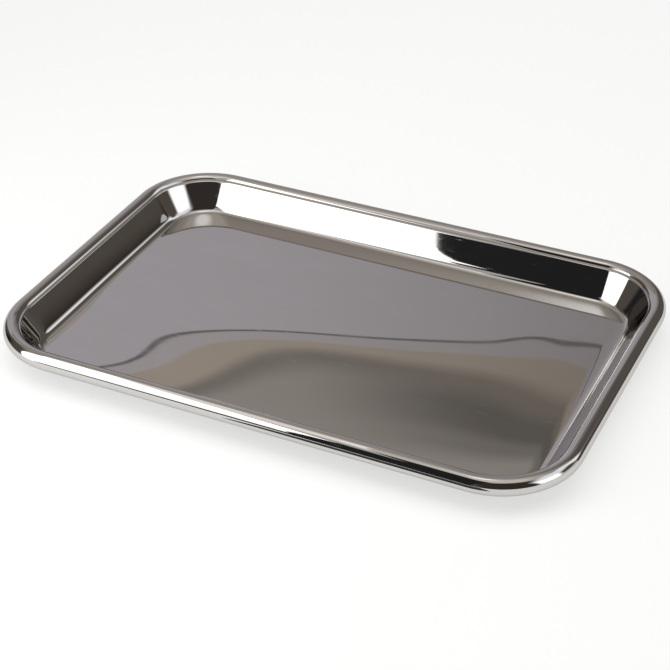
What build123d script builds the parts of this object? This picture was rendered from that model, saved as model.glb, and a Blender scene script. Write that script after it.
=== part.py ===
"""Pressed stainless-steel instrument tray: flat base, coved walls, hollow rolled rim.

Millimetres, +Z up. The origin is the centre of the underside of the base, X runs along the
tray's long side and Y across it. The tray is one sheet of steel, so it is one solid.
"""
from build123d import *
from math import acos, cos, degrees, radians, sin, tan
import os

# Driving dimensions of the whole tray
length = 343.0  # over the rolled rim, along X
width = 233.0  # over the rolled rim, along Y
corner_radius = 47.0  # outside radius of the corners in plan, over the rim
inner_depth = 19.6  # top of the base to the top of the rim
sheet = 0.8  # thickness of the steel

# Driving dimensions of the section through a wall
rim_radius = 5.2  # outside radius of the rolled rim
wall_lean = radians(30.0)  # the wall's lean outward from vertical
cove_radius = 6.0  # inside radius where the wall runs into the base
edge_gap = 0.3  # between the cut edge, tucked in under the rim, and the wall
base_overlap = 2.0  # how far the section runs into the flat base

# The rim's centre line
half_x = length / 2 - rim_radius
half_y = width / 2 - rim_radius
plan_radius = corner_radius - rim_radius
rim_height = sheet + inner_depth - rim_radius

# How far the rim turns, from the top of the wall over and down to its cut edge
rim_turn = 360 - degrees(acos((rim_radius - sheet - edge_gap) / rim_radius))


def wall_top(depth):
    """Where the wall meets the rim's circle at a tangent, depth in from the sheet's inner face.

    The section is drawn with u outward from the rim's centre line and v up from the underside.
    """
    radius = rim_radius - depth
    return (-radius * cos(wall_lean), rim_height + radius * sin(wall_lean))


def wall_foot(depth):
    """Where the wall and the base would meet without the cove between them."""
    u, v = wall_top(depth)
    base_level = sheet - depth
    return (u - (v - base_level) * tan(wall_lean), base_level)


# Where the flat base ends and the cove starts, and where the section starts inside the base
cove_start = wall_foot(0)[0] - cove_radius * tan((radians(90) - wall_lean) / 2)
section_start = cove_start - base_overlap


with BuildPart() as tray_pan:
    # One quarter of the rim's centre line, mirrored into the whole loop
    with BuildLine() as rim_line:
        side = Line((0, -half_y), (half_x - plan_radius, -half_y))
        corner = JernArc(side @ 1, side % 1, plan_radius, 90)
        Line(corner @ 1, (half_x, 0))
        mirror(about=Plane.XZ)
        mirror(about=Plane.YZ)

    # Cove, wall and rolled rim: both faces of the bent sheet, carried round the loop
    with BuildSketch(Plane(origin=(0, -half_y, 0), x_dir=(0, -1, 0), z_dir=(-1, 0, 0))):
        with BuildLine():
            inner_wall = FilletPolyline(
                (section_start, sheet), wall_foot(0), wall_top(0), radius=cove_radius
            )
            outer_wall = FilletPolyline(
                (section_start, 0), wall_foot(sheet), wall_top(sheet), radius=cove_radius + sheet
            )
            roll_start = 180 - degrees(wall_lean)
            outside_roll = CenterArc((0, rim_height), rim_radius, roll_start, -rim_turn)
            inside_roll = CenterArc((0, rim_height), rim_radius - sheet, roll_start, -rim_turn)
            Line(inner_wall @ 0, outer_wall @ 0)
            Line(outside_roll @ 1, inside_roll @ 1)
        make_face()
    sweep(path=rim_line.wire())

    # Flat base
    with BuildSketch():
        RectangleRounded(
            2 * (half_x + cove_start), 2 * (half_y + cove_start), plan_radius + cove_start
        )
    extrude(amount=sheet)

tray_pan.part.label = "tray_pan"

os.makedirs("parts", exist_ok=True)
export_step(tray_pan.part, "parts/tray_pan.step")
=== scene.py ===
"""Looks of the pressed steel instrument tray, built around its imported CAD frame.

Metres, +Z up, in the CAD model's own frame: the origin is the centre of the underside.
"""
import math

import bpy
from mathutils import Matrix, Vector


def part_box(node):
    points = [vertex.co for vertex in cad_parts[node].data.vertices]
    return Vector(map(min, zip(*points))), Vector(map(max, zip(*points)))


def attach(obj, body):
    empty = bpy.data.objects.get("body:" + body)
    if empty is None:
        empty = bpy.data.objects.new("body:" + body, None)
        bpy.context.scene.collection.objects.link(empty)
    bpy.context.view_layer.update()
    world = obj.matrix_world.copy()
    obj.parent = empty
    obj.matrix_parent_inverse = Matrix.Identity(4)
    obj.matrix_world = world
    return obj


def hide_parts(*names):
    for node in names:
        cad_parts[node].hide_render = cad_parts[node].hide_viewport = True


MM = 0.001

# The tray's section, as in the CAD model
SHEET = 0.8 * MM
RIM_RADIUS = 5.2 * MM
CORNER_RADIUS = 47.0 * MM
WALL_LEAN = math.radians(30.0)
EDGE_GAP = 0.3 * MM

# The way from base to wall in tangent arcs, base first: (radius, turn, mesh steps).
# The pressed base lifts a little before its tight bend, and the wall itself is slightly hollow.
COVE_ARCS = (
    (158.0 * MM, math.radians(2.0), 4),
    (5.0 * MM, math.radians(48.0), 12),
    (20.0 * MM, math.radians(6.0), 4),
    (240.0 * MM, math.radians(4.0), 8),
)

# How the base stands off flat after pressing: (x, y, reach along x, reach along y, height)
BASE_WAVES = (
    (-135 * MM, -60 * MM, 48 * MM, 25 * MM, -0.22 * MM),
    (-45 * MM, 0 * MM, 48 * MM, 30 * MM, 0.20 * MM),
    (160 * MM, -60 * MM, 30 * MM, 40 * MM, 0.50 * MM),
    (120 * MM, 78 * MM, 30 * MM, 20 * MM, 0.09 * MM),
    (123 * MM, 33 * MM, 9 * MM, 9 * MM, 0.012 * MM),
    (101 * MM, 54 * MM, 14 * MM, 14 * MM, 0.033 * MM),
)

# Mesh fineness
CORNER_STEPS = 28
LONG_STEPS = 88
SHORT_STEPS = 56
WALL_STEPS = 6
ROLL_STEPS = 64


# ---------------------------------------------------------------- the tray's shape


def plan_outline(half_x, half_y, radius):
    """Points and outward normals of the rim's centre line, once round, from a corner's middle."""
    quarter = CORNER_STEPS // 2
    outline = []
    for turn, (along, steps) in enumerate(
        ((half_x, LONG_STEPS), (half_y, SHORT_STEPS), (half_x, LONG_STEPS), (half_y, SHORT_STEPS))
    ):
        # One side in its own axes: it runs along +s at distance `out`, between two corners' middles
        out = half_y if along == half_x else half_x
        side = []
        for step in range(quarter):
            angle = math.radians(-45 + 45 * step / quarter)
            side.append((angle, -(along - radius)))
        for step in range(steps):
            side.append((0.0, (along - radius) * (2 * step / steps - 1)))
        for step in range(quarter):
            angle = math.radians(45 * step / quarter)
            side.append((angle, along - radius))
        facing = math.radians(-90 + 90 * turn)
        outward = Vector((math.cos(facing), math.sin(facing)))
        onward = Vector((-outward.y, outward.x))
        for angle, centre in side:
            normal = outward * math.cos(angle) + onward * math.sin(angle)
            point = outward * (out - radius) + onward * centre + normal * radius
            outline.append((point, normal))
    return outline


def wall_section(rim_height):
    """The inner and the outer face of the bent sheet, each from the base to the rim's cut edge.

    Each point is (u outward from the rim's centre line, v up).
    """
    roll_turn = 2 * math.pi - math.acos((RIM_RADIUS - SHEET - EDGE_GAP) / RIM_RADIUS)

    def face(depth):
        """Cove, wall and roll of the sheet's face that lies depth below its inner face."""
        radius = RIM_RADIUS - depth
        top = Vector((-radius * math.cos(WALL_LEAN), rim_height + radius * math.sin(WALL_LEAN)))
        cove = [Vector((0, SHEET - depth))]
        slope = 0.0
        for bend, turn, steps in COVE_ARCS:
            bend += depth
            centre = cove[-1] + bend * Vector((-math.sin(slope), math.cos(slope)))
            for i in range(1, steps + 1):
                angle = slope + turn * i / steps
                cove.append(centre + bend * Vector((math.sin(angle), -math.cos(angle))))
            slope += turn
        shift = top.x - (top.y - cove[-1].y) * math.tan(WALL_LEAN) - cove[-1].x
        cove = [point + Vector((shift, 0)) for point in cove]
        wall = [cove[-1].lerp(top, i / WALL_STEPS) for i in range(1, WALL_STEPS + 1)]
        start = math.pi - WALL_LEAN
        roll = [
            Vector((radius * math.cos(start - roll_turn * i / ROLL_STEPS),
                    rim_height + radius * math.sin(start - roll_turn * i / ROLL_STEPS)))
            for i in range(1, ROLL_STEPS + 1)
        ]
        return cove + wall + roll

    return face(0), face(SHEET)


def base_wave(x, y):
    """How far the base's upper face stands off flat at that place."""
    return sum(
        height * math.exp(-(((x - wave_x) / reach_x) ** 2 + ((y - wave_y) / reach_y) ** 2) / 2)
        for wave_x, wave_y, reach_x, reach_y, height in BASE_WAVES
    )


def tray_mesh(name, low, high):
    """The whole tray as one closed sheet of quads."""
    half_x = (high.x - low.x) / 2 - RIM_RADIUS
    half_y = (high.y - low.y) / 2 - RIM_RADIUS
    outline = plan_outline(half_x, half_y, CORNER_RADIUS - RIM_RADIUS)
    inner, outer = wall_section(high.z - RIM_RADIUS)
    around = len(outline)
    verts = []
    fade_height = inner[-1 - ROLL_STEPS].y - SHEET
    for i, (u, v) in enumerate(inner + outer[::-1]):
        # The base's waves die out up the wall, and its underside is flat
        still = min((v - SHEET) / fade_height, 1) if i < len(inner) - ROLL_STEPS else 1
        for point, normal in outline:
            x, y = point + normal * u
            verts.append((x, y, v + base_wave(x, y) * (1 - still) ** 2))
    faces = []
    for ring in range(len(inner) + len(outer) - 1):
        for i in range(around):
            j = (i + 1) % around
            faces.append((
                ring * around + j, ring * around + i,
                (ring + 1) * around + i, (ring + 1) * around + j,
            ))
    columns = CORNER_STEPS + LONG_STEPS
    rows = CORNER_STEPS + SHORT_STEPS
    last = (len(inner) + len(outer) - 1) * around
    faces += base_grid(verts, 0, columns, rows, up=True)
    faces += base_grid(verts, last, columns, rows, up=False)
    mesh = bpy.data.meshes.new(name)
    mesh.from_pydata(verts, [], faces)
    mesh.validate()
    mesh.polygons.foreach_set("use_smooth", [True] * len(mesh.polygons))
    mesh.update()
    return mesh


def base_grid(verts, first, columns, rows, up):
    """Fills the ring of vertices that starts at `first` with a smooth grid, and returns its faces."""
    around = 2 * (columns + rows)
    ring = [Vector(verts[first + i]) for i in range(around)]
    front = [first + i for i in range(columns + 1)]
    right = [first + columns + i for i in range(rows + 1)]
    back = [first + 2 * columns + rows - i for i in range(columns + 1)]
    left = [first + (around - i) % around for i in range(rows + 1)]
    grid = {}
    for row in range(rows + 1):
        t = row / rows
        for column in range(columns + 1):
            s = column / columns
            if row == 0:
                grid[column, row] = front[column]
            elif row == rows:
                grid[column, row] = back[column]
            elif column == 0:
                grid[column, row] = left[row]
            elif column == columns:
                grid[column, row] = right[row]
            else:
                f, b = ring[front[column] - first], ring[back[column] - first]
                l, r = ring[left[row] - first], ring[right[row] - first]
                corners = (
                    ring[front[0] - first] * (1 - s) * (1 - t) + ring[front[-1] - first] * s * (1 - t)
                    + ring[back[0] - first] * (1 - s) * t + ring[back[-1] - first] * s * t
                )
                point = f * (1 - t) + b * t + l * (1 - s) + r * s - corners
                if up:
                    point.z = SHEET + base_wave(point.x, point.y)
                grid[column, row] = len(verts)
                verts.append(tuple(point))
    faces = []
    for row in range(rows):
        for column in range(columns):
            quad = (grid[column, row], grid[column + 1, row],
                    grid[column + 1, row + 1], grid[column, row + 1])
            faces.append(quad if up else quad[::-1])
    return faces


# ---------------------------------------------------------------- node helpers


class Nodes:
    """Short ways to add nodes to one node tree and join them."""

    def __init__(self, tree):
        self.tree = tree

    def add(self, kind, **settings):
        node = self.tree.nodes.new(kind)
        for setting, value in settings.items():
            setattr(node, setting, value)
        return node

    def feed(self, socket, value):
        if isinstance(value, bpy.types.NodeSocket):
            self.tree.links.new(value, socket)
        else:
            socket.default_value = value

    def math(self, operation, *values):
        node = self.add("ShaderNodeMath", operation=operation)
        for socket, value in zip(node.inputs, values):
            self.feed(socket, value)
        return node.outputs[0]

    def dot(self, vector, fixed):
        node = self.add("ShaderNodeVectorMath", operation="DOT_PRODUCT")
        self.feed(node.inputs[0], vector)
        node.inputs[1].default_value = fixed
        return node.outputs["Value"]

    def smooth(self, value, low, high):
        """0 below low, 1 above high, smooth between; falls instead if low is above high."""
        node = self.add("ShaderNodeMapRange", interpolation_type="SMOOTHSTEP")
        self.feed(node.inputs["Value"], value)
        node.inputs["From Min"].default_value = low
        node.inputs["From Max"].default_value = high
        return node.outputs["Result"]

    def mix(self, factor, under, over):
        node = self.add("ShaderNodeMix", data_type="RGBA")
        self.feed(node.inputs["Factor"], factor)
        self.feed(node.inputs["A"], under)
        self.feed(node.inputs["B"], over)
        return node.outputs["Result"]

    def blend(self, factor, under, over):
        """The same for single values."""
        node = self.add("ShaderNodeMix", data_type="FLOAT")
        self.feed(node.inputs["Factor"], factor)
        self.feed(node.inputs["A"], under)
        self.feed(node.inputs["B"], over)
        return node.outputs["Result"]

    def noise(self, place, sizes, detail, offset=0.0):
        """Noise from 0 to 1 whose grains have these sizes along x, y and z, in the units of place."""
        node = self.add("ShaderNodeMapping", vector_type="POINT")
        self.feed(node.inputs["Vector"], place)
        node.inputs["Location"].default_value = (offset, offset, offset)
        node.inputs["Scale"].default_value = [1 / size for size in sizes]
        grain = self.add("ShaderNodeTexNoise", normalize=True)
        self.feed(grain.inputs["Vector"], node.outputs["Vector"])
        grain.inputs["Scale"].default_value = 1.0
        grain.inputs["Detail"].default_value = detail
        return grain.outputs["Fac"]


# ---------------------------------------------------------------- materials


def steel_material():
    """Mirror-polished stainless steel, with the fine lines, hairlines and smears of use."""
    material = bpy.data.materials.new("polished_steel")
    material.use_nodes = True
    nodes = Nodes(material.node_tree)
    shader = material.node_tree.nodes["Principled BSDF"]
    shader.inputs["Metallic"].default_value = 1.0
    # Steel gains less than most metals do towards grazing angles
    shader.inputs["Specular Tint"].default_value = (0.78, 0.77, 0.78, 1)
    place = nodes.add("ShaderNodeTexCoord").outputs["Object"]
    facing = nodes.add("ShaderNodeNewGeometry").outputs["Normal"]

    # The polishing lines run along the tray, and along the short walls at its ends
    at_ends = nodes.smooth(nodes.math("ABSOLUTE", nodes.dot(facing, (1, 0, 0))), 0.35, 0.6)

    def lengthwise(long, fine, detail, offset=0.0):
        """Noise drawn out along each wall."""
        along_x = nodes.noise(place, (long, fine, fine), detail, offset)
        along_y = nodes.noise(place, (fine, long, fine), detail, offset)
        return nodes.blend(at_ends, along_x, along_y)

    lines = lengthwise(60 * MM, 0.9 * MM, 3.0)
    hairs = nodes.smooth(lengthwise(14 * MM, 0.45 * MM, 1.0, offset=7.3), 0.70, 0.80)
    smears = nodes.smooth(nodes.noise(place, (55 * MM, 24 * MM, 24 * MM), 3.0, offset=2.1), 0.45, 0.75)

    # Drawing the walls has left coarser, longer streaks there than on the base
    drawn = nodes.smooth(nodes.dot(facing, (0, 0, 1)), 0.97, 0.85)
    streaks = lengthwise(90 * MM, 2.2 * MM, 4.0, offset=4.6)

    color = nodes.mix(lines, (0.615, 0.600, 0.580, 1), (0.585, 0.570, 0.550, 1))
    color = nodes.mix(nodes.math("MULTIPLY", smears, 0.5), color, (0.63, 0.615, 0.60, 1))
    nodes.feed(shader.inputs["Base Color"], color)

    rough = nodes.blend(lines, 0.004, 0.014)
    rough = nodes.blend(smears, rough, 0.020)
    rough = nodes.blend(hairs, rough, 0.14)
    rough = nodes.math("ADD", rough, nodes.math("MULTIPLY", drawn, 0.02))
    nodes.feed(shader.inputs["Roughness"], rough)

    bump = nodes.add("ShaderNodeBump")
    bump.inputs["Strength"].default_value = 1.0
    bump.inputs["Distance"].default_value = 0.00005 * MM
    coarse = nodes.math("MULTIPLY", nodes.math("MULTIPLY", drawn, streaks), 40.0)
    nodes.feed(bump.inputs["Height"], nodes.math("ADD", lines, coarse))
    nodes.feed(shader.inputs["Normal"], bump.outputs["Normal"])
    return material


def floor_material():
    """Plain pale studio floor that glows a little, as a light table does, so shadows stay soft."""
    material = bpy.data.materials.new("pale_floor")
    material.use_nodes = True
    shader = material.node_tree.nodes["Principled BSDF"]
    shader.inputs["Base Color"].default_value = (0.42, 0.42, 0.42, 1)
    shader.inputs["Roughness"].default_value = 0.9
    shader.inputs["Emission Color"].default_value = (0.99, 1.0, 0.99, 1)
    shader.inputs["Emission Strength"].default_value = 0.57
    return material


def flag_material():
    """Matt black card."""
    material = bpy.data.materials.new("black_card")
    material.use_nodes = True
    shader = material.node_tree.nodes["Principled BSDF"]
    shader.inputs["Base Color"].default_value = (0.03, 0.03, 0.03, 1)
    shader.inputs["Roughness"].default_value = 0.9
    return material


def glow_material(radiance):
    """A lamp behind diffusing cloth: bright in the middle and gone at the edge of a unit disc."""
    material = bpy.data.materials.new("soft_glow")
    material.use_nodes = True
    nodes = Nodes(material.node_tree)
    nodes.tree.nodes.clear()
    length = nodes.add("ShaderNodeVectorMath", operation="LENGTH")
    nodes.feed(length.inputs[0], nodes.add("ShaderNodeTexCoord").outputs["Object"])
    emission = nodes.add("ShaderNodeEmission")
    emission.inputs["Strength"].default_value = radiance
    mixer = nodes.add("ShaderNodeMixShader")
    nodes.feed(mixer.inputs[0], nodes.smooth(length.outputs["Value"], 1.0, 0.3))
    nodes.feed(mixer.inputs[1], nodes.add("ShaderNodeBsdfTransparent").outputs[0])
    nodes.feed(mixer.inputs[2], emission.outputs[0])
    nodes.feed(nodes.add("ShaderNodeOutputMaterial").inputs["Surface"], mixer.outputs[0])
    return material


# ---------------------------------------------------------------- studio light


def compass(azimuth, elevation):
    """The direction at that azimuth, clockwise from +Y seen from above, and elevation, in degrees."""
    a, e = math.radians(azimuth), math.radians(elevation)
    return Vector((math.sin(a) * math.cos(e), math.cos(a) * math.cos(e), math.sin(e)))


def axes(back, roll):
    """Turns an object whose local -Z looks away from `back`, rolled by an angle in radians."""
    across = Vector((0, 0, 1)).cross(back)
    across = across.normalized() if across.length else Vector((1, 0, 0))
    upward = back.cross(across)
    right = across * math.cos(roll) + upward * math.sin(roll)
    top = upward * math.cos(roll) - across * math.sin(roll)
    return Matrix((right, top, back)).transposed()


def card_mask(nodes, direction, azimuth, elevation, width, height, tilt, soft):
    """1 inside a flat rectangular card far away, 0 outside, all sizes in degrees."""
    facing = compass(azimuth, elevation)
    right, top, _ = axes(-facing, math.radians(tilt)).transposed()
    ahead = nodes.dot(direction, facing)
    mask = nodes.smooth(ahead, 0.0, 0.05)
    for axis, extent in ((right, width), (top, height)):
        offset = nodes.math("ABSOLUTE", nodes.math("DIVIDE", nodes.dot(direction, axis), ahead))
        inner = math.tan(math.radians(extent / 2 - soft))
        outer = math.tan(math.radians(extent / 2 + soft))
        mask = nodes.math("MULTIPLY", mask, nodes.smooth(offset, outer, inner))
    return mask


def layered(nodes, elevation, color, layers):
    """One colour above another: each layer starts at its elevation, with a soft edge, in degrees."""
    for start, soft, layer in layers:
        color = nodes.mix(nodes.smooth(elevation, start - soft, start + soft), color, (*layer, 1))
    return color


def add_studio():
    """Soft studio surroundings: a grey room, a pale backdrop with shelves above, and light cards."""
    world = bpy.data.worlds.new("studio")
    world.use_nodes = True
    bpy.context.scene.world = world
    nodes = Nodes(world.node_tree)
    direction = nodes.add("ShaderNodeTexCoord").outputs["Generated"]
    elevation = nodes.math("DEGREES", nodes.math("ARCSINE", nodes.dot(direction, (0, 0, 1))))
    azimuth = nodes.math("DEGREES", nodes.math(
        "ARCTAN2", nodes.dot(direction, (1, 0, 0)), nodes.dot(direction, (0, 1, 0))
    ))

    # Colours are linear light. Layers: (lower edge, softness, colour)
    room = layered(nodes, elevation, (0.105, 0.092, 0.080, 1), (
        (45, 5, (0.37, 0.34, 0.31)),
        (60, 6, (0.58, 0.53, 0.49)),
        (70, 4, (0.78, 0.74, 0.70)),
    ))
    backdrop = layered(nodes, elevation, (0.50, 0.475, 0.51, 1), (
        (33.97, 0.02, (0.18, 0.165, 0.18)),
        (34.05, 0.03, (0.47, 0.44, 0.46)),
        (34.4, 0.04, (0.44, 0.385, 0.335)),
    ))
    # Shelves above it, uneven and darker towards the right
    uneven = nodes.math("MULTIPLY", nodes.noise(direction, (0.15, 0.15, 0.15), 0.0), 1.4)
    shelf_height = nodes.math("ADD", elevation, nodes.math("SUBTRACT", uneven, 0.7))
    pale_end = layered(nodes, shelf_height, backdrop, (
        (34.95, 0.2, (0.25, 0.23, 0.21)),
        (35.45, 0.3, (0.37, 0.345, 0.32)),
        (40, 3.0, (0.36, 0.33, 0.30)),
        (50, 5, (0.52, 0.475, 0.44)),
    ))
    dark_end = layered(nodes, shelf_height, backdrop, (
        (34.95, 0.25, (0.25, 0.215, 0.19)),
        (35.6, 0.35, (0.15, 0.138, 0.125)),
        (36.7, 0.3, (0.22, 0.205, 0.19)),
        (37.5, 0.4, (0.36, 0.33, 0.305)),
        (50, 5, (0.52, 0.475, 0.44)),
    ))
    backdrop = nodes.mix(nodes.smooth(azimuth, -28, -19), pale_end, dark_end)
    # All of it falls off into the dark on its right, further right for its upper part
    upper = nodes.smooth(elevation, 35.5, 37)
    falloff = nodes.blend(upper, nodes.smooth(azimuth, -34, 6), nodes.smooth(azimuth, -22, 4))
    backdrop = nodes.mix(falloff, backdrop, (0.13, 0.12, 0.105, 1))
    behind = card_mask(nodes, direction, -25, 22, 74, 66, 0, 1.5)
    color = nodes.mix(behind, room, backdrop)

    # Cards, each over the ones before it:
    # (azimuth, elevation, width, height, tilt, softness, colour)
    cards = (
        (17, 19, 36, 42, 0, 3, (0.12, 0.11, 0.10)),
        (145, 28, 64, 80, 0, 4, (0.045, 0.038, 0.034)),
        (-158, 28, 30, 90, 0, 3, (0.020, 0.020, 0.021)),
        (-84, 12, 14, 24, 0, 5, (0.02, 0.02, 0.022)),
        (82, 43, 44, 26, -30, 6, (1.1, 1.14, 1.22)),
        (93, 20, 30, 34, 0, 4, (1.9, 1.9, 1.9)),
        (66, 3, 28, 18, 0, 1.5, (0.66, 0.72, 0.67)),
        (43, 16, 12, 5, 0, 2.0, (0.045, 0.037, 0.030)),
        (43, 38, 14, 34, 0, 4.0, (1.25, 1.25, 1.28)),
    )
    for *place, shade in cards:
        color = nodes.mix(card_mask(nodes, direction, *place), color, (*shade, 1))

    seen = nodes.add("ShaderNodeLightPath").outputs["Is Camera Ray"]
    color = nodes.mix(seen, color, (0.9, 0.9, 0.9, 1))
    nodes.feed(world.node_tree.nodes["Background"].inputs["Color"], color)


def add_softbox(name, width, height, centre, back, roll, radiance, mirrored=True):
    """A rectangular softbox that shines away from `back`; `mirrored` says if the steel shows it."""
    light = bpy.data.lights.new(name, "AREA")
    light.shape = "RECTANGLE"
    light.size = width
    light.size_y = height
    light.energy = radiance * math.pi * width * height
    softbox = bpy.data.objects.new(name, light)
    bpy.context.scene.collection.objects.link(softbox)
    softbox.matrix_world = axes(back, roll).to_4x4()
    softbox.location = centre
    softbox.visible_glossy = mirrored


def add_lights():
    """The key softbox on the tray's left with two wings, and a wide one that only lights the floor."""
    left = Vector((-1, 0, 0))
    over = Vector((0, 0, 1))
    # (name, width, height, centre, back, roll in degrees, radiance, mirrored), sizes in millimetres
    softboxes = (
        ("key_softbox", 1085, 890, (-480, -680, 565), left, 21.6, 1.8, True),
        ("front_wing", 160, 400, (-298, -345, 250), Vector((-0.12, -0.99, 0)), -34, 1.8, True),
        ("upper_wing", 340, 560, (-300, -230, 600), over, 0, 0.5, True),
        ("floor_softbox", 2400, 2400, (0, 300, 1900), over, 0, 1.15, False),
    )
    for name, width, height, centre, back, roll, radiance, mirrored in softboxes:
        add_softbox(
            name, width * MM, height * MM, Vector(centre) * MM, back.normalized(),
            math.radians(roll), radiance, mirrored,
        )


def add_mirrored_card(name, centre, half_width, half_depth, material):
    """A level card that only the steel sees."""
    bpy.ops.mesh.primitive_plane_add(size=2, location=Vector(centre) * MM)
    card = bpy.context.object
    card.name = name
    card.scale = (half_width * MM, half_depth * MM, 1)
    card.data.materials.append(material)
    card.visible_camera = False
    card.visible_diffuse = False
    card.visible_shadow = False


# ---------------------------------------------------------------- camera


def add_camera(target):
    """The camera in front of the tray, some way round to its right, looking down on it."""
    azimuth = math.radians(25.56)
    elevation = math.radians(33.86)
    roll = -0.0069  # radians
    distance = 971.4 * MM
    back = Vector((
        math.sin(azimuth) * math.cos(elevation),
        -math.cos(azimuth) * math.cos(elevation),
        math.sin(elevation),
    ))
    data = bpy.data.cameras.new("camera")
    data.sensor_width = 36.0
    data.lens = 92.9
    camera = bpy.data.objects.new("camera", data)
    bpy.context.scene.collection.objects.link(camera)
    camera.matrix_world = axes(back, roll).to_4x4()
    camera.location = target + back * distance
    bpy.context.scene.camera = camera


# ---------------------------------------------------------------- the scene

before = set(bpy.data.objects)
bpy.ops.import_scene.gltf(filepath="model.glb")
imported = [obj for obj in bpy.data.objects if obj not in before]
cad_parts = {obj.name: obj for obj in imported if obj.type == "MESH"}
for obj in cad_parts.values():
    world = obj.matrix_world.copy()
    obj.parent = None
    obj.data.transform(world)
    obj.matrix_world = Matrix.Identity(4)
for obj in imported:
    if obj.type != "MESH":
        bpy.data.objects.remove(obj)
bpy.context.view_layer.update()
low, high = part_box("tray_pan")

tray = bpy.data.objects.new("polished_tray", tray_mesh("polished_tray", low, high))
bpy.context.scene.collection.objects.link(tray)
tray.data.materials.append(steel_material())
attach(tray, "root")
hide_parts("tray_pan")

floor_size = 6.0
bpy.ops.mesh.primitive_plane_add(size=floor_size, location=(0, 0, low.z))
floor = bpy.context.object
floor.name = "floor"
floor.data.materials.append(floor_material())

bpy.context.scene.view_settings.view_transform = "Standard"

# The camera aims a little to the right and in front of the middle, level with the rim
half_length = (high.x - low.x) / 2 - RIM_RADIUS
aim_right = 0.0516 * half_length
aim_front = 0.1247 * half_length
add_camera(Vector((aim_right, -aim_front, high.z - RIM_RADIUS)))

add_studio()
add_lights()
# A black card darkens the rim along the front, and a soft lamp overhead lights the coves.
# Millimetres: centre, half width, half depth
add_mirrored_card("front_flag", (60, -300, 0.5), 85, 160, flag_material())
add_mirrored_card("top_glow", (-180, 290, 1800), 300, 300, glow_material(1.6))
